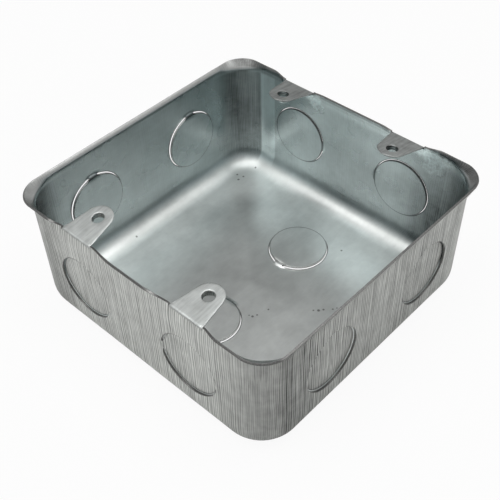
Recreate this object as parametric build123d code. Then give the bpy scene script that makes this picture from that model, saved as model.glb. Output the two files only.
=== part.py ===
"""Square switch box drawn from one piece of zinc-coated steel sheet.

Origin at the centre of the underside of the base, +Z towards the open side.
The walls across Y carry the four folded screw lugs, the walls across X are plain.
"""
import math
import os

from build123d import *

# Driving sizes, in millimetres and degrees
box_width = 103.8        # X, outside of one plain wall to the other
box_length = 103.0       # Y, outside of one lug wall to the other
box_height = 44.5        # Z, underside of the base to the rim
sheet = 0.7              # thickness of the steel
corner_radius = 13.5     # outside, upright corners
base_radius = 8.3        # outside, where the walls turn into the base

lip_height = 5.0         # top of the wall, pressed outwards as a lip
lip_lean_corner = 2.8    # how far the rim stands out on the corner diagonals
lip_lean_plain = 1.0     # along the plain walls
lip_lean_beside = 0.5    # on the lug walls, beside the corners
lip_lean_between = 0.3   # on the lug walls, half way between the lugs
lip_lean_lug = -0.8      # at the lugs, where folding has drawn the wall inwards

lug_spacing_x = 46.0     # hole to hole along a lug wall
lug_spacing_y = 83.3     # hole to hole across the mouth
lug_root = 12.8          # width of a lug at its fold
lug_tip_radius = 4.9     # round end of a lug, about its hole
lug_hole = 3.6           # screw hole
lug_hole_chamfer = 0.25  # on the upper edge of the hole
lug_fold = 1.0           # outside radius of the fold
lug_rise = 9.5           # degrees that the lug falls short of a square fold

knockout_wall = 22.0     # diameter of the knockouts in the walls
knockout_base = 20.9     # diameter of the knockouts in the base
knockout_spacing = 45.2  # centre to centre along a wall
knockout_height = 23.0   # centre above the underside of the base
knockout_base_spacing = 45.0  # centre to centre across the base
knockout_base_shift = 1.2  # how far the base pair sits off the centre line
knockout_gap = 0.2       # sheared slit round a slug
knockout_push = 0.8      # how far a slug is pushed into the box
tie_width = 3.0          # strip that still holds a slug
tie_reach = 0.6          # how far that strip runs into the wall and the slug

half_x = box_width / 2
half_y = box_length / 2
lip_start = box_height - lip_height
fold_start = box_height - lug_fold
lug_x = lug_spacing_x / 2
lug_y = lug_spacing_y / 2
over = 1.0               # how far cutters run past the sheet


def lip_lean(z, lean):
    """Outward lean and slope of the lip's outside at height z, where it ends with the lean given."""
    above = z - lip_start
    curvature = 2 * lean / (lean**2 + lip_height**2)
    slope = math.asin(above * curvature)
    return above * math.tan(slope / 2), slope


def lip_outline(z, inside):
    """Closed outline of the wall's outer or inner face at height z."""

    def offset_for(lean):
        out, slope = lip_lean(z, lean)
        return out - sheet / math.cos(slope) if inside else out

    corner = offset_for(lip_lean_corner)
    plain = offset_for(lip_lean_plain)
    beside = offset_for(lip_lean_beside)
    between = offset_for(lip_lean_between)
    at_lug = offset_for(lip_lean_lug)

    x = half_x + plain
    y = half_y + beside
    r = corner_radius - (corner - (plain + beside) / math.sqrt(2)) / (math.sqrt(2) - 1)
    lug_y_face = half_y + at_lug
    lug_far = lug_x + lug_root / 2
    lug_near = lug_x - lug_root / 2
    along = (-1, 0, 0)

    half = [
        Line((x, r - y, z), (x, y - r, z)),
        CenterArc((x - r, y - r, z), r, 0, 90),
        Spline((x - r, y, z), (lug_far, lug_y_face, z), tangents=[along, along]),
        Line((lug_far, lug_y_face, z), (lug_near, lug_y_face, z)),
        Spline(
            (lug_near, lug_y_face, z),
            (0, half_y + between, z),
            (-lug_near, lug_y_face, z),
            tangents=[along, along],
        ),
        Line((-lug_near, lug_y_face, z), (-lug_far, lug_y_face, z)),
        Spline((-lug_far, lug_y_face, z), (r - x, y, z), tangents=[along, along]),
        CenterArc((r - x, y - r, z), r, 90, 90),
    ]
    return Wire([Edge(e.wrapped) for e in half] + [e.rotate(Axis.Z, 180) for e in half])


def drawn_body(inside):
    """The box filled up to its outer face, or the room inside it up to its inner face."""
    inset = sheet if inside else 0.0
    plan = Pos(0, 0, inset) * RectangleRounded(
        box_width - 2 * inset, box_length - 2 * inset, corner_radius - inset
    )
    pan = extrude(plan, lip_start - inset)
    pan = fillet(pan.faces().sort_by(Axis.Z)[0].edges(), base_radius - inset)
    levels = [
        lip_start,
        (lip_start + fold_start) / 2,
        fold_start,
        (fold_start + box_height) / 2,
        box_height,
    ]
    lip = Solid.make_loft([lip_outline(z, inside) for z in levels])
    return pan + lip


def lug(side_x, side_y):
    """A tongue of the wall folded in at the rim, with its round end and screw hole."""
    lean, slope = lip_lean(fold_start, lip_lean_lug)
    outer_y = half_y + lean
    inner_y = outer_y - sheet / math.cos(slope)
    start = -slope
    turn = math.radians(90 - lug_rise)
    centre_y = outer_y - lug_fold * math.cos(start)
    centre_z = fold_start - lug_fold * math.sin(start)
    reach = half_y

    def on_fold(radius, angle):
        return (centre_y + radius * math.cos(angle), centre_z + radius * math.sin(angle))

    def along_lug(radius):
        y, z = on_fold(radius, turn)
        return (y - reach * math.sin(turn), z + reach * math.cos(turn))

    outer = lug_fold
    inner = lug_fold - sheet
    middle = (start + turn) / 2
    section = make_face(
        [
            Line((inner_y, fold_start), (outer_y, fold_start)),
            ThreePointArc(on_fold(outer, start), on_fold(outer, middle), on_fold(outer, turn)),
            Line(on_fold(outer, turn), along_lug(outer)),
            Line(along_lug(outer), along_lug(inner)),
            Line(along_lug(inner), on_fold(inner, turn)),
            ThreePointArc(on_fold(inner, turn), on_fold(inner, middle), (inner_y, fold_start)),
        ]
    )
    strip = Pos(lug_x, 0, 0) * extrude(Plane.YZ * section, lug_root / 2, both=True)
    tip = Pos(lug_x, lug_y) * Circle(lug_tip_radius)
    fold_end = on_fold(outer, turn)[0]
    root = Pos(lug_x, fold_end) * Rectangle(
        lug_root, outer_y + over - fold_end, align=(Align.CENTER, Align.MIN)
    )
    plan = make_hull(tip.edges() + root.edges())
    tongue = strip & extrude(plan, 2 * box_height)
    tongue -= Pos(lug_x, lug_y, box_height) * Cylinder(lug_hole / 2, box_height)
    lug_top = tongue.faces().filter_by(GeomType.PLANE).sort_by(Axis.Z)[-1]
    tongue = chamfer(lug_top.inner_wires()[0].edges(), lug_hole_chamfer)
    if side_x < 0:
        tongue = mirror(tongue, about=Plane.YZ)
    if side_y < 0:
        tongue = mirror(tongue, about=Plane.XZ)
    return tongue


def knockout(centre, inward, tie_towards, diameter):
    """The hole for a slug and the slug itself, pushed in and held by one strip."""
    place = Plane(origin=centre, x_dir=tie_towards, z_dir=inward)
    hole_radius = diameter / 2
    slug_radius = hole_radius - knockout_gap
    hole = Pos(0, 0, sheet / 2) * Cylinder(hole_radius, sheet + 2 * over)
    slug = Pos(0, 0, knockout_push + sheet / 2) * Cylinder(slug_radius, sheet)
    start = slug_radius - tie_reach
    end = hole_radius + tie_reach
    strip = Plane.XZ * Polygon(
        (start, knockout_push),
        (end, 0),
        (end, sheet),
        (start, knockout_push + sheet),
        align=None,
    )
    tie = extrude(strip, tie_width / 2, both=True)
    return place * hole, place * (slug + tie)


# The drawn shell with its flared rim
box = drawn_body(inside=False) - drawn_body(inside=True)

# The lugs, each folded out of a notch in the rim
for side_x in (-1, 1):
    for side_y in (-1, 1):
        notch = Pos(side_x * lug_x, side_y * (half_y - sheet / 2), box_height) * Box(
            lug_root, sheet + 2 * over, 2 * lug_fold
        )
        box = box - notch + lug(side_x, side_y)

# The knockouts: two in each wall and two in the base
knockouts = []
for end in (-1, 1):
    offset = end * knockout_spacing / 2
    for side in (-1, 1):
        knockouts.append(
            knockout(
                (offset, side * half_y, knockout_height), (0, -side, 0), (-end, 0, 0), knockout_wall
            )
        )
        knockouts.append(
            knockout(
                (side * half_x, offset, knockout_height), (-side, 0, 0), (0, 0, 1), knockout_wall
            )
        )
    base_centre = (knockout_base_shift, end * knockout_base_spacing / 2, 0)
    knockouts.append(knockout(base_centre, (0, 0, 1), (0, -end, 0), knockout_base))
for hole, slug in knockouts:
    box = box - hole + slug

os.makedirs("parts", exist_ok=True)
export_step(box, "parts/switch_box.step")
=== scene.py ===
"""Looks of a square switch box drawn from one piece of zinc-coated steel sheet.

Origin at the centre of the underside of the base, +Z towards the open side, in metres.
The walls across Y carry the four folded screw lugs, the walls across X are plain.
The camera sees the -Y and +X walls from outside and the +Y and -X walls from inside.
"""
import math

import bmesh
import bpy
from mathutils import Matrix, Vector, noise


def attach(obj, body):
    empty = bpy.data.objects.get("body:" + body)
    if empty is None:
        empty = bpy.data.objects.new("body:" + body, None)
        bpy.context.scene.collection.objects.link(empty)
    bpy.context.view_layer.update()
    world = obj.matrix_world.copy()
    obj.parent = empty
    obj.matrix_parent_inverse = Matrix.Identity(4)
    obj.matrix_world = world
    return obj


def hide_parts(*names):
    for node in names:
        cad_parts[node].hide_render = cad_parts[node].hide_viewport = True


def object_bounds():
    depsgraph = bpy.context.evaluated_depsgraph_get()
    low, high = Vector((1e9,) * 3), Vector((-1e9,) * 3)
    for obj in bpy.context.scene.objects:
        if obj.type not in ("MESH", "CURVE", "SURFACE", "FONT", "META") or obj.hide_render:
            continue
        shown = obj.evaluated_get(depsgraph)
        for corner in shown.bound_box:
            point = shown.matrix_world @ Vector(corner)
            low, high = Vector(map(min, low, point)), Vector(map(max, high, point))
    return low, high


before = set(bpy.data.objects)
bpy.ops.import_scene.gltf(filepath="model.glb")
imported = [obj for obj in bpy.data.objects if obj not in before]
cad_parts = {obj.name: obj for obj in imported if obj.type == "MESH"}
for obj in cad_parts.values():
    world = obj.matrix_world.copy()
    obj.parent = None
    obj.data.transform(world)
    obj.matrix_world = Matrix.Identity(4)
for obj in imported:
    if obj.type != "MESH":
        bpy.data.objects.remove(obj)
cad_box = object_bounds()
mm = 0.001

# Sheet and box, the same sizes as the CAD model
sheet = 0.7 * mm
box_height = 44.5 * mm
corner_radius = 13.5 * mm  # outside, upright corners
base_radius = 8.3 * mm  # outside, where the walls turn into the base

# How far the rim leans out; pairs are for the -Y and +Y walls
lean_corner = 2.8 * mm  # on the corner diagonals
lean_plain = 1.0 * mm  # along the plain walls
lean_beside = 0.5 * mm  # on the lug walls, beside the corners
lean_between = {-1: 0.5 * mm, 1: -0.4 * mm}  # on the lug walls, half way between the lugs
lean_lug = -0.8 * mm  # at the lugs, where folding has drawn the wall inwards
lean_run = {-1: 10.0 * mm, 1: 4.0 * mm}  # length of the change between the lugs
lean_dip = 6.0 * mm  # length of the change between a lug and its corner
lean_height = 5.0 * mm  # height of the curve where the wall leans in
half_x = cad_box[1].x - lean_plain
half_y = cad_box[1].y - lean_beside
lip_start = box_height - lean_height

# Shapes of the lip: its steepest slope, and the most height that it takes to bend to it
tight_lip = (1.2, 0.9 * mm)
slow_lip = (1.25, 2.5 * mm)
gentle_lip = (0.45, 3.0 * mm)
plain_lip = {-1: tight_lip, 1: gentle_lip}  # on the -X and +X walls
corner_lip = {(-1, -1): tight_lip, (-1, 1): tight_lip, (1, -1): tight_lip, (1, 1): slow_lip}

# Lugs
lug_x = 23.0 * mm  # centre of the hole
lug_y = 41.65 * mm
lug_half_root = 6.4 * mm
lug_tip_radius = 4.9 * mm
lug_fold = 1.0 * mm  # outside radius of the fold
lug_rise = {(-1, -1): 9.5, (1, -1): 4.0, (-1, 1): 9.5, (1, 1): 9.5}  # degrees short of square
hole_radius = 1.8 * mm
hole_edge = 0.45 * mm  # rounding of the hole's upper edge
collar_depth = 2.0 * mm
edge_roll = 0.25 * mm  # how far the shears have rolled the free edge down
edge_roll_run = 1.5 * mm  # from the fold to where the roll is complete
thread_pitch = 0.7 * mm
thread_depth = 0.16 * mm
lug_near = lug_x - lug_half_root
lug_far = lug_x + lug_half_root
fold_start = box_height - lug_fold

# Knockouts
wall_knockout_radius = 11.0 * mm
base_knockout_radius = 10.45 * mm
wall_knockout_offset = 22.6 * mm  # from the middle of the wall
base_knockout_offset = 22.5 * mm  # from the middle of the base, along Y
base_knockout_shift = 1.2 * mm  # of the pair in the base, along X
knockout_height = 23.0 * mm
slit = 0.2 * mm
lug_wall_push = {-1: 0.8 * mm, 1: 0.5 * mm}  # how far the slugs stand in, on the -Y and +Y walls
plain_wall_push = 0.9 * mm
base_push = 1.0 * mm
tie_half_width = 1.5 * mm
tie_run = 1.0 * mm  # how far the tie bends on each side of the slit
tie_joined = 1.1 * tie_half_width  # half the width that is joined across the slit

# Mesh steps; a tile is the square of mesh round a knockout
tile_steps = 20
tile_margin = 1.4 * mm
margin_steps = 3
middle_steps = 14
corner_steps = 14
flat_steps = 4
turn_steps = 10
wall_steps = 2
lip_steps = 10
notch_steps = 4
fold_steps = 6
lug_side_steps = 6
lug_tip_steps = 18
hole_edge_steps = 4
thread_steps = 14
wall_tile = wall_knockout_radius + tile_margin
base_tile = base_knockout_radius + tile_margin
weld = 0.001 * mm  # points closer than this become one

# Rings of mesh: distances outside a slit and inside a slug's edge
slit_rings = (0.4 * mm, 0.9 * mm)
slug_rings = (0.4 * mm, 0.9 * mm, 1.8 * mm)

# Rings of mesh on a lug: share of the way in to its hole, and share of the edge's roll
lug_rings = [(0, 1), (0.04, 0.4), (0.1, 0.08), (0.3, 0), (0.6, 0), (0.85, 0), (1, 0)]

# Finish of the sheet
edge_round = 0.08 * mm
edge_angle = math.radians(60)  # edges that turn more than this are rounded
wave_height = 0.10 * mm
wave_length = 26 * mm

# Camera, with the picture's own sizes in pixels of a 500 by 500 frame
picture_size = 500
focal_pixels = 852.66
picture_centre = (238.95, 279.14)
camera_azimuth = 45.117
camera_elevation = 46.809
camera_roll = 2.644
camera_distance = 295.4 * mm
camera_slide = (-4.82 * mm, 1.48 * mm)
sensor_width = 36.0
nearest_seen = 10 * mm

# Colours; a sheared edge has streaks of two
base_colour = (0.69, 0.715, 0.70, 1)
wall_colour = (0.50, 0.565, 0.57, 1)
outside_colour = (0.60, 0.612, 0.59, 1)
lug_colour = (0.47, 0.488, 0.478, 1)
lip_colour = (0.50, 0.51, 0.50, 1)
# dark sheared edges paint the shade along the rim and round the knockout holes
shaded_edge = ((0.18, 0.18, 0.18, 1), (0.27, 0.27, 0.26, 1))
# light sheared edges are bright steel with a painted highlight, on the lugs and slugs
bright_and_highlit_edge = ((0.65, 0.65, 0.64, 1), (0.95, 0.95, 0.93, 1))
# the cut edges of the +Y wall below the rim are darker
darker_back_edge = (0.19, 0.20, 0.20, 1)
floor_colour = (0.8, 0.8, 0.8, 1)
white = (1, 1, 1, 1)

# Lightness of the coat, as a factor of its colour, and what each zone of sheet_zones() adds to it; most of
# these zones are painted light or painted shade
inside_tone = 1.05
outside_tone = 1.4
zone_tones = {
    # painted shade in the upright inner corners at both ends of the -X wall
    "shaded_inner_corner": -0.6,
    # painted light: a pale upright strip on the inner +Y wall
    "lit_strip": 0.4,
    # painted shade low on the inner +Y wall
    "shaded_back_low": -0.2,
    # painted light high on the inner +Y wall
    "lit_back_high": 0.24,
    # painted shade towards the +X end of the inner walls
    "shaded_right_end": -0.7,
    # painted shade towards the -Y end of the inner walls
    "shaded_left_end": -0.18,
    # painted light: a pale haze on the base's turn near the -X corners
    "lit_haze": 0.28,
    "rim_shade": -0.4,
    # painted shade on the outer walls towards both ends of the -Y wall
    "shaded_outer_ends": -0.45,
    # the lugs of the +Y wall are darker
    "darker_back_lugs": -0.4,
    # painted shade on the lip top along the +Y wall
    "shaded_back_lip": -0.27,
    # painted shade on the outer faces that face +X
    "shaded_side": -0.24,
}

# Roughness of the coat, in general and in some zones
base_roughness = 0.33
wall_roughness = 0.28
outside_roughness = 0.45
zone_roughness = {"lug_wall_turn": 0.42, "lip_top": 0.42, "soft_turn": 0.50}
blotch_roughness = 0.15
line_roughness = 0.1
worn_roughness = 0.25
edge_roughness = 0.4

# Lines left by the press
line_pitch = 0.8 * mm
line_wander = 0.8 * mm
line_wander_size = 16 * mm
line_stray = 11.0  # range over which noise moves a line, in radians of its pitch
line_slant = math.radians(12)
lip_room = 0.9 * mm  # lines are read this far inside the wall, so that its lean doesn't bend them

# Width of the marks as a share of their length
line_stretch = 0.012
lug_line_stretch = 0.08
band_stretch = 0.02
slant_stretch = 0.04
scuff_stretch = 0.3

# Depth of the marks in the lightness of the coat
inner_line_depth = 0.06
inner_corner_line_depth = 0.22
outer_line_depth = 0.85
outer_corner_line_depth = 0.3
lug_line_depth = 0.3
band_depth = 0.12
corner_band_depth = 0.3
slant_depth = 0.3
blotch_depth = 0.25
inner_smudge_depth = 0.18
outer_smudge_depth = 0.4
inner_scuff_depth = 0.16
lug_scuff_depth = 0.4
worn_depth = 0.45
worn_speckle_depth = 1.4

# Relief of the lines and of the grain
bump_depth = 0.02 * mm
grain_share = 0.7  # of that depth

# Dark specks of dirt, with painted shade along the slits and in the screw holes: share of the light that
# they take, and how deep the painted shade in the holes of the lugs is
dirt_and_shade_front = 0.65
dirt_and_shade_behind = 0.6  # on the +Y wall and its lugs
hole_shade_front = 0.3
hole_shade_behind = 1.0

# Rubbed patches of the wall beside the lugs: x, y, z and radius in millimetres
worn_patches = [
    (33.0, 50.7, 40.0, 6.0),
    (-15.5, 50.7, 40.5, 3.5),
]

# Dark specks of the base: x, y and radius in millimetres
specks = [
    (25.4, 4.7, 0.4),
    (26.4, 6.1, 0.3),
    (24.1, 3.6, 0.25),
    (28.6, 8.3, 0.25),
    (29.3, 9.6, 0.2),
    (13.5, 31.9, 0.3),
    (10.7, -11.9, 0.35),
    (12.6, -6.1, 0.25),
    (11.4, -10.4, 0.25),
    (9.5, -12.3, 0.2),
    (-40.9, 36.2, 0.35),
    (-40.7, 38.8, 0.3),
    (-43.3, 38.1, 0.3),
    (-40.4, 45.5, 0.3),
    (-46.5, -12.1, 0.3),
]

# Light; each lamp has a name, azimuth, elevation, width, height and brightness
lamp_distance = 0.9
room_level = 0.16
backdrop_level = 1.0
floor_glow = 0.93
floor_size = 4.0
soft_boxes = [
    ("overhead", 0, 90, 0.7, 0.7, 1.92),
    ("right", 135, 62, 0.5, 0.4, 1.66),
    ("left", 337, 62, 0.5, 0.4, 2.76),
    ("back", 225, 62, 0.5, 0.4, 0.16),
    ("low_back", 205, 18, 1.4, 0.35, 0.28),
    ("low_left", 280, 18, 1.0, 0.35, 0.6),
    ("low_far", 186, 22, 0.5, 0.25, 0.6),
    ("low_right", 130, 25, 1.3, 0.4, 0.4),
    ("low_front_left", 335, 36, 0.7, 0.3, 0.45),
    ("low_front", 45, 32, 1.6, 0.45, 0.4),
]


def steps(start, end, count):
    """Evenly spaced values from start to end, with both ends."""
    return [start + (end - start) * i / count for i in range(count + 1)]


def chain(*runs):
    """Runs of values joined into one list, without the repeated joints."""
    joined = list(runs[0])
    for run in runs[1:]:
        joined += run[1:]
    return joined


def mirrored(half):
    """Values from the middle out, with their mirror image in front."""
    return [-v for v in reversed(half[1:])] + half


def smooth(low, high, value):
    """0 below low and 1 above high, with a soft change between."""
    share = min(max((value - low) / (high - low), 0), 1)
    return share * share * (3 - 2 * share)


def blend(first, second, share):
    """The value that lies at a share of the way from first to second."""
    return first + (second - first) * share


def between(first, second, share):
    """The row of points that lies at a share of the way from one row to another."""
    return [tuple(blend(a, b, share) for a, b in zip(p, q)) for p, q in zip(first, second)]


def polar(radius, angle):
    """The point at a distance and an angle from the centre."""
    return (radius * math.cos(angle), radius * math.sin(angle))


def direction(azimuth, elevation):
    """Unit vector towards a place seen from the box; azimuth 0 is in front of the -Y wall."""
    level = math.cos(math.radians(elevation))
    azimuth = math.radians(azimuth)
    height = math.sin(math.radians(elevation))
    return Vector((math.sin(azimuth) * level, -math.cos(azimuth) * level, height))


class Surface:
    """The outer face of the sheet, as points and faces that are welded where they meet."""

    def __init__(self):
        self.points = []
        self.faces = []
        self.known = {}

    def point(self, place):
        key = tuple(round(c / weld) for c in place)
        if key not in self.known:
            self.known[key] = len(self.points)
            self.points.append(place)
        return self.known[key]

    def face(self, *places):
        corners = []
        for place in places:
            index = self.point(place)
            if index not in corners:
                corners.append(index)
        if len(corners) > 2:
            self.faces.append(corners)

    def strip(self, first, second, keep=lambda column: True):
        """Faces between two rows of points."""
        for i in range(len(first) - 1):
            if keep(i):
                self.face(first[i], first[i + 1], second[i + 1], second[i])

    def strips(self, rows):
        """Faces between each row of points and the next."""
        for one, two in zip(rows, rows[1:]):
            self.strip(one, two)


def lip_lean(z, lean, lip=tight_lip):
    """Lean and slope of the wall at height z: a flange if it leans out, a slow curve if it leans in."""
    below_rim = box_height - z
    if lean <= 0:
        above = max(lean_height - below_rim, 0)
        return lean * (above / lean_height) ** 2, math.atan(2 * lean * above / lean_height**2)
    steepest, longest_bend = lip
    bend = min(longest_bend, 2 * lean / steepest)
    above = max(lean / steepest + bend / 2 - below_rim, 0)
    bent = min(above, bend)
    return steepest * (bent**2 / (2 * bend) + above - bent), math.atan(steepest * bent / bend)


def lug_wall_lean(x, side_y):
    """Lean of the rim along a wall with lugs: out at the corners, in at the lugs."""
    if abs(x) < lug_near:
        share = smooth(lug_near - lean_run[side_y], lug_near, abs(x))
        return blend(lean_between[side_y], lean_lug, share)
    return blend(lean_lug, lean_beside, smooth(lug_far, lug_far + lean_dip, abs(x)))


def lip_round_corner(side_x, side_y, angle):
    """Lip of a corner at an angle from X: that of the walls at both ends, its own on the diagonal."""
    diagonal = math.pi / 4
    own = corner_lip[side_x, side_y]
    if angle < diagonal:
        first, second, share = plain_lip[side_x], own, smooth(0, diagonal, angle)
    else:
        first, second, share = own, tight_lip, smooth(diagonal, 2 * diagonal, angle)
    return tuple(blend(a, b, share) for a, b in zip(first, second))


class Column:
    """One upright line of the wall, followed down its side and in under the base."""

    def __init__(self, side_x, side_y, along=0.0, along_base=0.0, angle=None):
        self.side_x = side_x
        self.side_y = side_y
        self.along = along
        self.along_base = along_base
        self.angle = angle

    def place(self, inset, z):
        """Where the line runs at a height, with its inset from the wall's outer face."""
        if self.angle is not None:
            return self.corner_place(inset, z)
        along = blend(self.along, self.along_base, smooth(0, corner_radius, inset))
        if self.side_y == 0:
            lean = lip_lean(z, lean_plain, plain_lip[self.side_x])[0]
            return (self.side_x * (half_x + lean - inset), along, z)
        lean = lip_lean(z, lug_wall_lean(along, self.side_y))[0]
        return (along, self.side_y * (half_y + lean - inset), z)

    def corner_place(self, inset, z):
        """A place on a corner, where the lip grows from its walls' to its own size on the diagonal."""
        past_walls = lean_corner - (lean_plain + lean_beside) / math.sqrt(2)
        tighter = past_walls / (math.sqrt(2) - 1)
        out_x, out_y = polar(1, self.angle)
        rim_x = lean_plain + tighter * (1 - out_x)
        rim_y = lean_beside + tighter * (1 - out_y)
        lean = rim_x * out_x + rim_y * out_y
        lip = lip_round_corner(self.side_x, self.side_y, self.angle)
        share = lip_lean(z, lean, lip)[0] / lean
        x = half_x - corner_radius + (corner_radius - inset) * out_x + share * rim_x
        y = half_y - corner_radius + (corner_radius - inset) * out_y + share * rim_y
        return (self.side_x * x, self.side_y * y, z)


def wall_lines():
    """Where the lines stand along the lug walls and the plain walls, and across the base in X and Y."""
    end_x = half_x - corner_radius
    end_y = half_y - corner_radius
    low = wall_knockout_offset - wall_tile
    high = wall_knockout_offset + wall_tile
    quarter = tile_steps // 4
    middle = steps(0, low, middle_steps // 2)
    with_lugs = chain(
        middle,
        steps(low, lug_near, quarter),
        steps(lug_near, lug_far, 2 * quarter),
        steps(lug_far, high, quarter),
        steps(high, end_x, margin_steps),
    )
    plain = chain(middle, steps(low, high, tile_steps), steps(high, end_y, margin_steps))

    low = base_knockout_offset - base_tile
    high = base_knockout_offset + base_tile
    along_base = chain(
        steps(0, low, middle_steps // 2),
        steps(low, high, tile_steps),
        steps(high, end_y, margin_steps),
    )
    low = base_knockout_shift - base_tile
    high = base_knockout_shift + base_tile
    side_steps = len(with_lugs) - 1 - tile_steps // 2
    across_base = chain(
        steps(-end_x, low, side_steps),
        steps(low, high, tile_steps),
        steps(high, end_x, side_steps),
    )
    return mirrored(with_lugs), mirrored(plain), across_base, mirrored(along_base)


lug_wall_x, plain_wall_y, base_x, base_y = wall_lines()
tile_rows = steps(knockout_height - wall_tile, knockout_height + wall_tile, tile_steps)


def tile_lines(lines, centre, half):
    """The lines within a distance of a centre, measured from it."""
    return [v - centre for v in lines if abs(v - centre) < half + weld]


def profile():
    """Inset and height along the sheet's outer face, from the flat of the base up to the rim."""
    flat = [(inset, 0.0) for inset in steps(corner_radius, base_radius, flat_steps)]
    turn = []
    for angle in steps(0, math.pi / 2, turn_steps):
        turn.append((base_radius * (1 - math.sin(angle)), base_radius * (1 - math.cos(angle))))
    heights = chain(
        steps(base_radius, tile_rows[0], wall_steps),
        tile_rows,
        steps(tile_rows[-1], lip_start, wall_steps),
        steps(lip_start, fold_start, lip_steps),
        steps(fold_start, box_height, notch_steps),
    )
    return chain(flat, turn, [(0.0, z) for z in heights])


def perimeter():
    """The upright lines all round the box, anticlockwise from above."""
    turn = steps(0, math.pi / 2, corner_steps)[1:-1]
    back = list(reversed(turn))
    columns = [Column(1, 0, y, yb) for y, yb in zip(plain_wall_y, base_y)]
    columns += [Column(1, 1, angle=a) for a in turn]
    columns += [Column(0, 1, x, xb) for x, xb in zip(reversed(lug_wall_x), reversed(base_x))]
    columns += [Column(-1, 1, angle=a) for a in back]
    columns += [Column(-1, 0, y, yb) for y, yb in zip(reversed(plain_wall_y), reversed(base_y))]
    columns += [Column(-1, -1, angle=a) for a in turn]
    columns += [Column(0, -1, x, xb) for x, xb in zip(lug_wall_x, base_x)]
    columns += [Column(1, -1, angle=a) for a in back]
    return columns + columns[:1]


def add_walls(surface):
    """Walls, lip and the turn into the base, open where the knockouts and lugs go."""
    columns = perimeter()
    rows = profile()
    for (inset, z), (next_inset, next_z) in zip(rows, rows[1:]):
        middle_z = (z + next_z) / 2
        tile_height = tile_rows[0] < middle_z < tile_rows[-1]

        def keep(i):
            one, two = columns[i], columns[i + 1]
            if one.angle is not None or two.angle is not None:
                return True
            middle = abs(one.along + two.along) / 2
            if tile_height and abs(middle - wall_knockout_offset) < wall_tile:
                return False
            cut_out = abs(middle - lug_x) < lug_half_root and middle_z > fold_start
            return not (cut_out and one.side_y)

        first = [c.place(inset, z) for c in columns]
        second = [c.place(next_inset, next_z) for c in columns]
        surface.strip(first, second, keep)


def add_base(surface):
    """The flat middle of the base, open where its knockouts go."""
    for y, next_y in zip(base_y, base_y[1:]):
        middle_y = (y + next_y) / 2

        def keep(i):
            middle_x = (base_x[i] + base_x[i + 1]) / 2
            beside = abs(middle_x - base_knockout_shift) > base_tile
            return beside or abs(abs(middle_y) - base_knockout_offset) > base_tile

        first = [(x, y, 0.0) for x in base_x]
        second = [(x, next_y, 0.0) for x in base_x]
        surface.strip(first, second, keep)


def ring(radius):
    """Points round a knockout, one for each step round its tile."""
    count = 4 * tile_steps
    return [polar(radius, 2 * math.pi * i / count - 3 * math.pi / 4) for i in range(count + 1)]


def frame_loop(us, vs):
    """Points round a tile, in the same order as ring()."""
    loop = [(u, vs[0]) for u in us]
    loop += [(us[-1], v) for v in vs[1:]]
    loop += [(u, vs[-1]) for u in reversed(us[:-1])]
    loop += [(us[0], v) for v in reversed(vs[:-1])]
    return loop


def add_knockout(surface, place, us, vs, radius, push, tie_angle):
    """A slug sheared from the sheet, pushed in and held by one strip; place(u, v, depth) puts its points."""
    slug_radius = radius - slit

    def from_tie(u, v):
        """Distance round the slit from the middle of the tie."""
        away = math.atan2(v, u) - tie_angle
        return abs(math.atan2(math.sin(away), math.cos(away))) * radius

    def put(points, on_slug):
        """The points in the sheet, as deep as the push and the tie hold them."""
        placed = []
        for u, v in points:
            held = 1 - smooth(tie_half_width, 2 * tie_half_width, from_tie(u, v))
            bend = push * (1 - smooth(radius - tie_run, radius + tie_run, math.hypot(u, v)))
            free = push if on_slug else 0.0
            placed.append(place(u, v, blend(free, bend, held)))
        return placed

    outer = [ring(radius)]
    outer += [ring(radius + gap) for gap in slit_rings]
    outer.append(frame_loop(us, vs))
    surface.strips([put(row, False) for row in outer])

    half = slug_radius / 2
    core_lines = steps(-half, half, tile_steps)
    core = frame_loop(core_lines, core_lines)
    inner = [ring(slug_radius)]
    inner += [ring(slug_radius - gap) for gap in slug_rings]
    inner += [between(inner[-1], core, 0.5), core]
    surface.strips([put(row, True) for row in reversed(inner)])
    surface.strips([put([(u, v) for u in core_lines], True) for v in core_lines])

    rim = inner[0]

    def in_tie(i):
        middle_u = (rim[i][0] + rim[i + 1][0]) / 2
        middle_v = (rim[i][1] + rim[i + 1][1]) / 2
        return from_tie(middle_u, middle_v) < tie_joined

    surface.strip(put(rim, True), put(outer[0], False), in_tie)


def add_knockouts(surface):
    """Two knockouts in each wall and two in the base."""
    heights = [z - knockout_height for z in tile_rows]
    up = math.pi / 2
    for side in (-1, 1):
        for end in (-1, 1):
            centre = end * wall_knockout_offset

            def in_lug_wall(u, v, depth):
                return (centre + u, side * (half_y - depth), knockout_height + v)

            def in_plain_wall(u, v, depth):
                return (side * (half_x - depth), centre + u, knockout_height + v)

            to_middle = 0.0 if end < 0 else math.pi
            push = lug_wall_push[side]
            us = tile_lines(lug_wall_x, centre, wall_tile)
            add_knockout(surface, in_lug_wall, us, heights, wall_knockout_radius, push, to_middle)
            us = tile_lines(plain_wall_y, centre, wall_tile)
            add_knockout(surface, in_plain_wall, us, heights, wall_knockout_radius, plain_wall_push, up)

        def in_base(u, v, depth):
            return (base_knockout_shift + u, side * base_knockout_offset + v, depth)

        us = tile_lines(base_x, base_knockout_shift, base_tile)
        vs = tile_lines(base_y, side * base_knockout_offset, base_tile)
        add_knockout(surface, in_base, us, vs, base_knockout_radius, base_push, -side * up)


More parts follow.
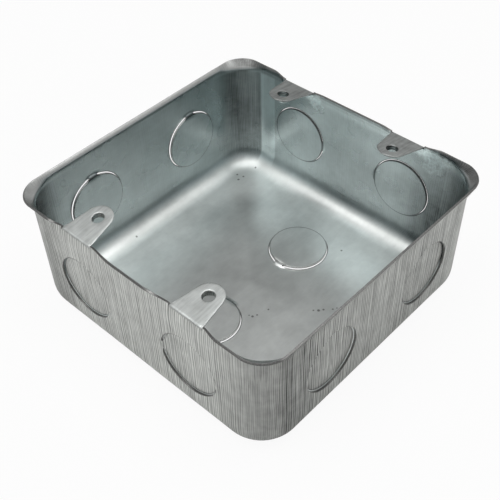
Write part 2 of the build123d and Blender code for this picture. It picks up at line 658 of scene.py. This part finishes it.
def add_lug(surface, side_x, side_y, rise):
    """A tongue of the wall folded in at the rim, with a rolled and tapped screw hole."""
    lean, slope = lip_lean(fold_start, lean_lug)
    end = math.radians(90 - rise)
    centre_y = half_y + lean - lug_fold * math.cos(slope)
    centre_z = fold_start + lug_fold * math.sin(slope)
    xs = tile_lines(lug_wall_x, lug_x, lug_half_root)

    def place(x, y, z):
        return (side_x * (lug_x + x), side_y * y, z)

    fold = []
    for angle in steps(-slope, end, fold_steps):
        out, up = polar(lug_fold, angle)
        fold.append([place(x, centre_y + out, centre_z + up) for x in xs])
    surface.strips(fold)

    out, up = polar(lug_fold, end)
    fold_y = centre_y + out
    fold_z = centre_z + up

    def on_lug(x, y, drop=0.0):
        """A point of the lug's upper face, given from the hole's centre."""
        height = fold_z + (fold_y - lug_y - y) * math.tan(math.radians(rise))
        return place(x, lug_y + y, height - drop)

    # Outline: the root, a side that touches the round tip, the tip and the other side
    root = fold_y - lug_y
    reach = math.hypot(lug_half_root, root)
    tangent = math.atan2(root, lug_half_root) - math.acos(lug_tip_radius / reach)
    corner = (lug_half_root, root)
    touch = polar(lug_tip_radius, tangent)
    side = [between([corner], [touch], share)[0] for share in steps(0, 1, lug_side_steps)]
    tip = [polar(lug_tip_radius, a) for a in steps(tangent, -math.pi - tangent, lug_tip_steps)]
    other_side = [(-x, y) for x, y in reversed(side)]
    loop = chain([(x, root) for x in xs], side, tip, other_side)

    # Upper face, from the outline to the hole, sunk where the shears have rolled the free edge
    directions = [math.atan2(y, x) for x, y in loop]
    hole = [polar(hole_radius + hole_edge, angle) for angle in directions]
    free = [smooth(0, edge_roll_run, root - y) for x, y in loop]
    rows = []
    for share, roll in lug_rings:
        points = between(loop, hole, share)
        rows.append([on_lug(x, y, roll * edge_roll * f) for (x, y), f in zip(points, free)])
    surface.strips(rows)

    def collar(radius, drop, thread):
        """A ring of the collar below the lug, with its share of the thread."""
        points = []
        for angle in directions:
            turn = 2 * math.pi * drop / thread_pitch + side_x * side_y * angle
            x, y = polar(radius + thread * (0.5 + 0.5 * math.cos(turn)), angle)
            points.append(on_lug(x, y, drop))
        return points

    rows = []
    for angle in steps(0, math.pi / 2, hole_edge_steps):
        radius = hole_radius + hole_edge * (1 - math.sin(angle))
        rows.append(collar(radius, hole_edge * (1 - math.cos(angle)), 0.0))
    for drop in steps(hole_edge, collar_depth, thread_steps)[1:]:
        cut = thread_depth * smooth(hole_edge, hole_edge + thread_pitch / 2, drop)
        rows.append(collar(hole_radius, drop, cut))
    surface.strips(rows)


def shell_mesh():
    """The sheet's outer face as one welded mesh, facing out, with a little waviness."""
    surface = Surface()
    add_walls(surface)
    add_base(surface)
    add_knockouts(surface)
    for (side_x, side_y), rise in lug_rise.items():
        add_lug(surface, side_x, side_y, rise)
    mesh = bpy.data.meshes.new("switch_box_sheet")
    mesh.from_pydata(surface.points, [], surface.faces)
    body = bmesh.new()
    body.from_mesh(mesh)
    bmesh.ops.recalc_face_normals(body, faces=body.faces)
    lowest = min(body.faces, key=lambda face: face.calc_center_median().z)
    if lowest.normal.z > 0:
        bmesh.ops.reverse_faces(body, faces=body.faces)
    body.normal_update()
    moves = []
    for vertex in body.verts:
        lift = 0.5 + 0.5 * noise.noise(vertex.co / wave_length)
        moves.append(vertex.normal * (-wave_height * lift))
    for vertex, move in zip(body.verts, moves):
        vertex.co += move
    body.to_mesh(mesh)
    body.free()
    mesh.shade_smooth()
    return mesh


def make_shell(coat, cut_edge):
    """The drawn sheet at its full thickness, with rounded cut edges."""
    mesh = shell_mesh()
    mesh.materials.append(coat)
    mesh.materials.append(cut_edge)
    shell = bpy.data.objects.new("switch_box_sheet", mesh)
    bpy.context.collection.objects.link(shell)
    thicken = shell.modifiers.new("thickness", "SOLIDIFY")
    thicken.thickness = sheet
    thicken.offset = -1
    thicken.use_even_offset = True
    thicken.use_quality_normals = True
    thicken.material_offset_rim = 1
    rounding = shell.modifiers.new("edges", "BEVEL")
    rounding.width = edge_round
    rounding.segments = 2
    rounding.limit_method = "ANGLE"
    rounding.angle_limit = edge_angle
    rounding.use_clamp_overlap = False
    rounding.material = 1
    normals = shell.modifiers.new("normals", "WEIGHTED_NORMAL")
    normals.keep_sharp = True
    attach(shell, "root")
    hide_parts("switch_box")


def place_camera():
    """The photograph's viewpoint, with the shift that its framing needs."""
    azimuth = math.radians(camera_azimuth)
    roll = math.radians(camera_roll)
    back = direction(camera_azimuth, camera_elevation)
    level_right = Vector((math.cos(azimuth), math.sin(azimuth), 0))
    level_up = back.cross(level_right)
    right = level_right * math.cos(roll) - level_up * math.sin(roll)
    up = level_right * math.sin(roll) + level_up * math.cos(roll)
    eye = back * camera_distance + level_right * camera_slide[0] + level_up * camera_slide[1]

    data = bpy.data.cameras.new("camera")
    data.sensor_width = sensor_width
    data.lens = sensor_width * focal_pixels / picture_size
    data.shift_x = (picture_size / 2 - picture_centre[0]) / picture_size
    data.shift_y = (picture_centre[1] - picture_size / 2) / picture_size
    data.clip_start = nearest_seen
    camera = bpy.data.objects.new("camera", data)
    camera.matrix_world = Matrix.Translation(eye) @ Matrix((right, up, back)).transposed().to_4x4()
    bpy.context.collection.objects.link(camera)
    bpy.context.scene.camera = camera


class Shader:
    """One material made of nodes; each value given is a number, a colour or another node's output."""

    def __init__(self, name):
        self.material = bpy.data.materials.new(name)
        self.material.use_nodes = True
        self.tree = self.material.node_tree
        self.tree.nodes.clear()

    def node(self, kind, inputs, **settings):
        made = self.tree.nodes.new("ShaderNode" + kind)
        for name, value in settings.items():
            setattr(made, name, value)
        for socket, value in inputs.items():
            if isinstance(value, bpy.types.NodeSocket):
                self.tree.links.new(value, made.inputs[socket])
            else:
                made.inputs[socket].default_value = value
        return made

    def math(self, operation, *values):
        return self.node("Math", dict(enumerate(values)), operation=operation).outputs[0]

    def product(self, first, *others):
        for other in others:
            first = self.math("MULTIPLY", first, other)
        return first

    def total(self, first, *others):
        for other in others:
            first = self.math("ADD", first, other)
        return first

    def vector(self, operation, first, second):
        return self.node("VectorMath", {0: first, 1: second}, operation=operation).outputs

    def split(self, vector):
        return self.node("SeparateXYZ", {0: vector}).outputs

    def ramp(self, value, low, high):
        """0 at low and 1 at high, with a soft change between."""
        limits = {"Value": value, "From Min": low, "From Max": high}
        return self.node("MapRange", limits, interpolation_type="SMOOTHSTEP").outputs[0]

    def span(self, value, low, high):
        """The same as ramp, with low and high in millimetres."""
        return self.ramp(value, low * mm, high * mm)

    def mix(self, share, first, second):
        return self.node("Mix", {0: share, 2: first, 3: second}).outputs[0]

    def tint(self, share, first, second):
        return self.node("Mix", {0: share, 6: first, 7: second}, data_type="RGBA").outputs[2]

    def noise(self, place, size, detail=2.0):
        """Soft noise about 0, from about -0.5 to 0.5, with spots of the size given."""
        inputs = {"Vector": place, "Scale": 1 / size, "Detail": detail, "Roughness": 0.6}
        return self.math("SUBTRACT", self.node("TexNoise", inputs).outputs[0], 0.5)

    def stretched(self, place, *shares):
        """The place squeezed along X, Y and Z, which draws out the noise that is read from it."""
        return self.vector("MULTIPLY", place, shares)[0]

    def show(self, surface):
        self.node("OutputMaterial", {"Surface": surface})
        return self.material


def speck_mask(zinc, place):
    """1 on the small dark specks of the base."""
    mask = 0.0
    flat = zinc.vector("MULTIPLY", place, (1, 1, 0))[0]
    for x, y, radius in specks:
        away = zinc.vector("DISTANCE", flat, (x * mm, y * mm, 0))["Value"]
        mask = zinc.math("MAXIMUM", mask, zinc.span(away, 1.7 * radius, 0.7 * radius))
    return mask


def to_slit(shader, place, on_wall):
    """How far a place lies outside the slit round the nearest knockout."""
    x, y, z = shader.split(place)
    out_x = shader.math("ABSOLUTE", x)
    out_y = shader.math("ABSOLUTE", y)
    across_wall = shader.math("SUBTRACT", shader.math("MINIMUM", out_x, out_y), wall_knockout_offset)
    up_wall = shader.math("SUBTRACT", z, knockout_height)
    across_base = shader.math("SUBTRACT", x, base_knockout_shift)
    along_base = shader.math("SUBTRACT", out_y, base_knockout_offset)

    def past(u, v, radius):
        squares = shader.total(shader.math("MULTIPLY", u, u), shader.math("MULTIPLY", v, v))
        return shader.math("SUBTRACT", shader.math("SQRT", squares), radius - 0.5 * slit)

    on_walls = past(across_wall, up_wall, wall_knockout_radius)
    on_base = past(across_base, along_base, base_knockout_radius)
    return shader.mix(on_wall, on_base, on_walls)


def slit_shade_mask(zinc, place, zone):
    """1 on the thin line of painted shade along the slit round each knockout."""
    away = to_slit(zinc, place, zone["on_wall"])
    line = zinc.span(zinc.math("ABSOLUTE", away), 0.5, 0.25)
    broken = zinc.ramp(zinc.noise(place, 5 * mm), -0.1, 0.15)
    # On the outer faces, away from the +Y wall, the line of painted shade is broken up by noise
    broken_share = zinc.product(zone["outside"], zinc.math("SUBTRACT", 1.0, zone["behind"]))
    return zinc.product(line, zinc.mix(broken_share, 1.0, broken))


def hole_shade_mask(zinc, place):
    """Up to 1 inside the screw holes of the lugs: painted shade, deepest in the lugs of the +Y wall."""
    outwards = zinc.vector("ABSOLUTE", place, (0, 0, 0))[0]
    height = zinc.split(outwards)[2]
    outwards = zinc.vector("MULTIPLY", outwards, (1, 1, 0))[0]
    away = zinc.vector("DISTANCE", outwards, (lug_x, lug_y, 0))["Value"]
    near = zinc.ramp(away, hole_radius + 0.6 * hole_edge, hole_radius + 0.3 * hole_edge)
    behind = zinc.span(zinc.split(place)[1], -10, 10)
    depth = zinc.mix(behind, hole_shade_front, hole_shade_behind)
    return zinc.product(near, zinc.span(height, 38, 40), depth)


def worn_mask(zinc, place):
    """1 on the rubbed patches of the wall beside the lugs, with ragged edges."""
    mask = 0.0
    ragged = zinc.product(zinc.noise(place, 2.5 * mm), 8 * mm)
    for x, y, z, radius in worn_patches:
        away = zinc.vector("DISTANCE", place, (x * mm, y * mm, z * mm))["Value"]
        near = zinc.span(zinc.total(away, ragged), radius, 0.4 * radius)
        mask = zinc.math("MAXIMUM", mask, near)
    return mask


def sheet_zones(zinc, place):
    """Shares from 0 to 1 of the parts of the sheet that look different; many of them mark where light or
    shade is painted into the coat.
    """
    x, y, z = zinc.split(place)
    normal = zinc.node("NewGeometry", {}).outputs["Normal"]
    normal_x, _, normal_z = zinc.split(normal)

    # Faces and heights of the sheet
    from_middle = zinc.vector("SUBTRACT", place, (0, 0, 0.7 * box_height))[0]
    facing = zinc.vector("DOT_PRODUCT", from_middle, normal)["Value"]
    outside = zinc.span(facing, -2, 2)
    inside = zinc.math("SUBTRACT", 1.0, outside)
    facing_up = zinc.ramp(normal_z, 0.3, 0.7)
    on_wall = zinc.span(z, 2, 5)
    low = zinc.product(inside, zinc.span(z, 7, 3.5))
    inner_wall = zinc.product(on_wall, inside, zinc.span(z, 42.4, 41.2))

    # Nearness to the walls and corners
    out_x = zinc.math("ABSOLUTE", x)
    out_y = zinc.math("ABSOLUTE", y)
    past_x = zinc.math("SUBTRACT", out_x, half_x)
    past_y = zinc.math("SUBTRACT", out_y, half_y)
    by_plain_wall = zinc.span(past_x, -20, -9)
    by_lug_wall = zinc.span(past_y, -18, -9)
    by_corner = zinc.span(zinc.total(past_x, past_y), -50, -28)
    corner = zinc.span(zinc.math("MINIMUM", out_x, out_y), 34, 46)
    wall_ends = zinc.math("MAXIMUM", zinc.span(x, 30, 46), zinc.span(x, -24, -43))
    towards_minus_x = zinc.span(x, 10, -10)
    back_wall = zinc.span(y, 44, 47)
    back_inside = zinc.product(inner_wall, back_wall)

    # Upper faces of the lugs and of the lip
    lug_top = zinc.product(facing_up, zinc.span(z, 42, 43.5), zinc.span(out_x, 33, 31))
    lip_top = zinc.product(facing_up, zinc.span(z, 40.5, 42), zinc.span(out_x, 31, 33))
    return {
        "outside": outside,
        "inside": inside,
        "on_wall": on_wall,
        "behind": back_wall,
        "corner": zinc.product(on_wall, corner),
        # Painted shade in the upright inner corners at both ends of the -X wall, weaker near the base
        "shaded_inner_corner": zinc.product(
            inner_wall,
            towards_minus_x,
            zinc.span(out_x, 40.8, 41.8),
            zinc.span(out_y, 34.8, 45.5),
            zinc.mix(zinc.span(z, 6, 24), 0.65, 1.0),
        ),
        # Painted light: a pale upright strip on the inner +Y wall near its -X end
        "lit_strip": zinc.product(back_inside, zinc.span(x, -42, -41), zinc.span(x, -34.4, -35.2)),
        # Painted shade on the lower inner +Y wall, from x = -24 mm towards +X
        "shaded_back_low": zinc.product(back_inside, zinc.span(z, 40, 12), zinc.span(x, -24, 0)),
        # Painted light on the upper half of the inner +Y wall
        "lit_back_high": zinc.product(back_inside, zinc.span(z, 22, 38)),
        # Painted shade on the inner walls towards the -Y end
        "shaded_left_end": zinc.product(inner_wall, zinc.span(y, -26, -42)),
        # Painted shade on the inner walls towards the +X end, weaker on the +X wall and near the rim
        "shaded_right_end": zinc.product(
            on_wall,
            inside,
            zinc.span(x, 17, 39),
            zinc.mix(zinc.span(x, 45, 50), 1.0, 0.65),
            zinc.mix(zinc.span(z, 38, 43.5), 1.0, 0.1),
        ),
        # Painted shade on the outer walls towards both ends of the -Y wall
        "shaded_outer_ends": zinc.product(on_wall, outside, wall_ends, zinc.span(y, -24, -43)),
        # Painted shade on the outer faces that face +X
        "shaded_side": zinc.product(outside, zinc.ramp(normal_x, 0.2, 0.8)),
        "rim_shade": zinc.product(inside, back_wall, zinc.span(z, 42.9, 43.5)),
        "lug_wall_turn": zinc.product(low, by_lug_wall),
        "soft_turn": zinc.product(low, zinc.math("MAXIMUM", by_plain_wall, by_corner)),
        # Painted light: a pale haze on the base's turn near the two -X corners
        "lit_haze": zinc.product(low, by_corner, towards_minus_x),
        "lug_top": lug_top,
        # The lugs of the +Y wall are darker
        "darker_back_lugs": zinc.product(lug_top, zinc.span(y, -10, 10)),
        "lip_top": lip_top,
        # Painted shade on the lip top along the +Y wall, short of the +X corner
        "shaded_back_lip": zinc.product(lip_top, zinc.span(y, 44, 50), zinc.span(x, 50, 45)),
    }


def press_lines(zinc, place, zone):
    """Fine dark lines left by the die, upright on the walls and along the lugs; 0 to 1."""
    wander = zinc.node("TexNoise", {"Vector": place, "Scale": 1 / line_wander_size}).outputs["Color"]
    wander = zinc.vector("SUBTRACT", wander, (0.5, 0.5, 0.5))[0]
    wander = zinc.vector("MULTIPLY", wander, (line_wander, line_wander, 0))[0]
    strayed = zinc.vector("ADD", place, wander)[0]
    limit = (half_x - lip_room, half_y - lip_room, box_height)
    strayed = zinc.vector("MINIMUM", strayed, limit)[0]
    strayed = zinc.vector("MAXIMUM", strayed, tuple(-side for side in limit))[0]
    upright = zinc.stretched(strayed, 1, 1, line_stretch)
    across_x, across_y, _ = zinc.split(zinc.vector("ABSOLUTE", strayed, (0, 0, 0))[0])
    around = zinc.math("SUBTRACT", across_x, across_y)
    turns = zinc.total(
        zinc.product(around, 2 * math.pi / line_pitch),
        zinc.product(zinc.noise(upright, 2 * line_pitch), line_stray),
    )
    even = zinc.ramp(zinc.math("SINE", turns), 0.3, -0.8)
    uneven = zinc.ramp(zinc.noise(upright, 0.3 * line_pitch, 0.0), 0.1, -0.2)
    on_walls = zinc.total(zinc.product(even, 0.6), zinc.product(uneven, 0.4))
    along_lug = zinc.stretched(place, 1, lug_line_stretch, lug_line_stretch)
    on_lugs = zinc.ramp(zinc.noise(along_lug, 1.2 * mm), 0.15, -0.25)
    return zinc.mix(zone["lug_top"], on_walls, on_lugs)


def coat_marks(zinc, place, zone):
    """Marks of the press and of handling: masks from 0 to 1, and noise about 0."""
    turned = {"Vector": place, "Axis": (0, 1, 0), "Angle": line_slant}
    slanting = zinc.node("VectorRotate", turned).outputs[0]
    return {
        "lines": press_lines(zinc, place, zone),
        "worn": zinc.product(zone["inside"], worn_mask(zinc, place)),
        "bands": zinc.noise(zinc.stretched(place, 1, 1, band_stretch), 4.5 * mm),
        "slants": zinc.noise(zinc.stretched(slanting, 1, 1, slant_stretch), 2.2 * mm),
        "scuffs": zinc.noise(zinc.stretched(place, 1, scuff_stretch, 1), 1.6 * mm),
        "blotches": zinc.noise(place, 14 * mm),
        "smudges": zinc.noise(place, 4 * mm),
        "grain": zinc.noise(place, 2.5 * mm),
        "speckle": zinc.noise(place, 0.9 * mm),
    }


def coat_line_depth(zinc, zone):
    """How deep the press lines are: most on the flat of the outer walls, least inside."""
    inner = zinc.mix(zone["corner"], inner_line_depth, inner_corner_line_depth)
    outer = zinc.mix(zone["corner"], outer_line_depth, outer_corner_line_depth)
    outer = zinc.mix(zone["lug_top"], outer, lug_line_depth)
    return zinc.mix(zone["outside"], zinc.product(zone["on_wall"], inner), outer)


def coat_tone(zinc, place, zone, mark, line_depth):
    """Lightness of the coat, from its marks, its zones, the dirt on it and the painted shade along the slits
    and in the screw holes.
    """
    outside = zone["outside"]
    scuff_depth = zinc.mix(outside, inner_scuff_depth, zinc.product(zone["lug_top"], lug_scuff_depth))
    speckle = zinc.product(mark["speckle"], worn_speckle_depth)
    tone = zinc.total(
        zinc.mix(outside, inside_tone, outside_tone),
        zinc.product(mark["lines"], line_depth, -1.0),
        zinc.product(mark["bands"], zinc.mix(zone["corner"], band_depth, corner_band_depth)),
        zinc.product(mark["slants"], outside, slant_depth),
        zinc.product(mark["blotches"], blotch_depth),
        zinc.product(mark["smudges"], zinc.mix(outside, inner_smudge_depth, outer_smudge_depth)),
        zinc.product(mark["scuffs"], scuff_depth),
        zinc.product(mark["worn"], zinc.total(speckle, worn_depth)),
    )
    for name, added in zone_tones.items():
        tone = zinc.total(tone, zinc.product(zone[name], added))
    # Dark specks are dirt; the lines along the slits and the insides of the lugs' holes are painted shade
    dirt_and_shade = zinc.math("MAXIMUM", speck_mask(zinc, place), slit_shade_mask(zinc, place, zone))
    dirt_and_shade = zinc.math("MAXIMUM", dirt_and_shade, hole_shade_mask(zinc, place))
    dirt_and_shade = zinc.product(dirt_and_shade, zinc.mix(zone["behind"], dirt_and_shade_front, dirt_and_shade_behind))
    return zinc.product(tone, zinc.math("SUBTRACT", 1.0, dirt_and_shade))


def coat_roughness(zinc, zone, mark):
    """Roughness of the coat: smoothest inside, rougher outside and where it was bent or rubbed."""
    inner = zinc.mix(zone["on_wall"], base_roughness, wall_roughness)
    roughness = zinc.mix(zone["outside"], inner, outside_roughness)
    for name, value in zone_roughness.items():
        roughness = zinc.mix(zone[name], roughness, value)
    return zinc.total(
        roughness,
        zinc.product(mark["blotches"], blotch_roughness),
        zinc.product(mark["lines"], zone["outside"], line_roughness),
        zinc.product(mark["worn"], worn_roughness),
    )


def zinc_material():
    """The zinc coat: smooth and pale on the base, cooler on the inner walls, lined by the die outside, with
    painted light and shade in some zones.
    """
    zinc = Shader("zinc_coated_steel")
    place = zinc.node("TexCoord", {}).outputs["Object"]
    zone = sheet_zones(zinc, place)
    mark = coat_marks(zinc, place, zone)
    line_depth = coat_line_depth(zinc, zone)

    colour = zinc.tint(zone["on_wall"], base_colour, wall_colour)
    colour = zinc.tint(zone["outside"], colour, outside_colour)
    colour = zinc.tint(zone["lug_top"], colour, lug_colour)
    colour = zinc.tint(zone["lip_top"], colour, lip_colour)
    tone = coat_tone(zinc, place, zone, mark, line_depth)
    colour = zinc.node("VectorMath", {0: colour, "Scale": tone}, operation="SCALE").outputs[0]

    grain = zinc.product(mark["grain"], zone["inside"], grain_share)
    height = zinc.math("SUBTRACT", grain, zinc.product(mark["lines"], line_depth))
    bump = zinc.node("Bump", {"Height": height, "Strength": 1.0, "Distance": bump_depth}).outputs[0]
    roughness = coat_roughness(zinc, zone, mark)
    looks = {"Metallic": 1.0, "Base Color": colour, "Roughness": roughness, "Normal": bump}
    return zinc.show(zinc.node("BsdfPrincipled", looks).outputs[0])


def cut_edge_material():
    """The sheared edges: bright steel with a painted highlight on the lugs and slugs, painted shade round
    the holes and along the rim.
    """
    edge = Shader("sheared_edge")
    place = edge.node("TexCoord", {}).outputs["Object"]
    x, y, z = edge.split(place)
    past_x = edge.math("SUBTRACT", edge.math("ABSOLUTE", x), half_x)
    past_y = edge.math("SUBTRACT", edge.math("ABSOLUTE", y), half_y)
    on_rim = edge.span(edge.math("MAXIMUM", past_x, past_y), -4, -2)
    in_hole = edge.span(to_slit(edge, place, edge.span(z, 4, 10)), -0.05, 0.05)
    # Painted shade along the rim and round the knockout holes; elsewhere bright steel with a painted
    # highlight
    edge_shade_share = edge.mix(edge.span(z, 38, 42), in_hole, on_rim)
    # The cut edges of the +Y wall below the rim are darker
    darker_back_share = edge.product(edge.span(y, 46, 48), edge.span(z, 42, 38))
    streaks = edge.ramp(edge.noise(place, 0.4 * mm), -0.2, 0.2)
    colour = edge.tint(edge_shade_share, edge.tint(streaks, *bright_and_highlit_edge), edge.tint(streaks, *shaded_edge))
    colour = edge.tint(darker_back_share, colour, darker_back_edge)
    looks = {"Metallic": 1.0, "Base Color": colour, "Roughness": edge_roughness}
    return edge.show(edge.node("BsdfPrincipled", looks).outputs[0])


def floor_material():
    """White to the eye, with a soft shadow under the box."""
    floor = Shader("floor")
    paint = floor.node("BsdfDiffuse", {"Color": floor_colour}).outputs[0]
    glow = floor.node("Emission", {"Strength": 1.0}).outputs[0]
    seen = floor.node("LightPath", {}).outputs["Is Camera Ray"]
    share = floor.product(seen, floor_glow)
    return floor.show(floor.node("MixShader", {"Fac": share, 1: paint, 2: glow}).outputs[0])


def make_floor():
    """The ground that the box stands on."""
    bpy.ops.mesh.primitive_plane_add(size=floor_size, location=(0, 0, 0))
    floor = bpy.context.object
    floor.name = "floor"
    floor.data.materials.append(floor_material())


def soft_box(name, azimuth, elevation, width, height, radiance):
    """A rectangular lamp that faces the box."""
    data = bpy.data.lights.new(name, "AREA")
    data.shape = "RECTANGLE"
    data.size = width
    data.size_y = height
    data.energy = radiance * math.pi * width * height
    lamp = bpy.data.objects.new(name, data)
    towards = direction(azimuth, elevation)
    lamp.location = towards * lamp_distance
    lamp.rotation_mode = "QUATERNION"
    lamp.rotation_quaternion = towards.to_track_quat("Z", "Y")
    bpy.context.collection.objects.link(lamp)


def make_lights():
    """Soft boxes in a dim room that looks white to the camera."""
    world = bpy.data.worlds.new("studio")
    world.use_nodes = True
    nodes = world.node_tree.nodes
    links = world.node_tree.links
    nodes.clear()
    chosen = nodes.new("ShaderNodeMixShader")
    seen = nodes.new("ShaderNodeLightPath").outputs["Is Camera Ray"]
    links.new(seen, chosen.inputs["Fac"])
    for socket, level in ((1, room_level), (2, backdrop_level)):
        light = nodes.new("ShaderNodeBackground")
        light.inputs["Color"].default_value = white
        light.inputs["Strength"].default_value = level
        links.new(light.outputs[0], chosen.inputs[socket])
    out = nodes.new("ShaderNodeOutputWorld")
    links.new(chosen.outputs[0], out.inputs["Surface"])
    bpy.context.scene.world = world
    for lamp in soft_boxes:
        soft_box(*lamp)


make_shell(zinc_material(), cut_edge_material())
place_camera()
make_floor()
make_lights()

bpy.context.scene.view_settings.view_transform = "Standard"
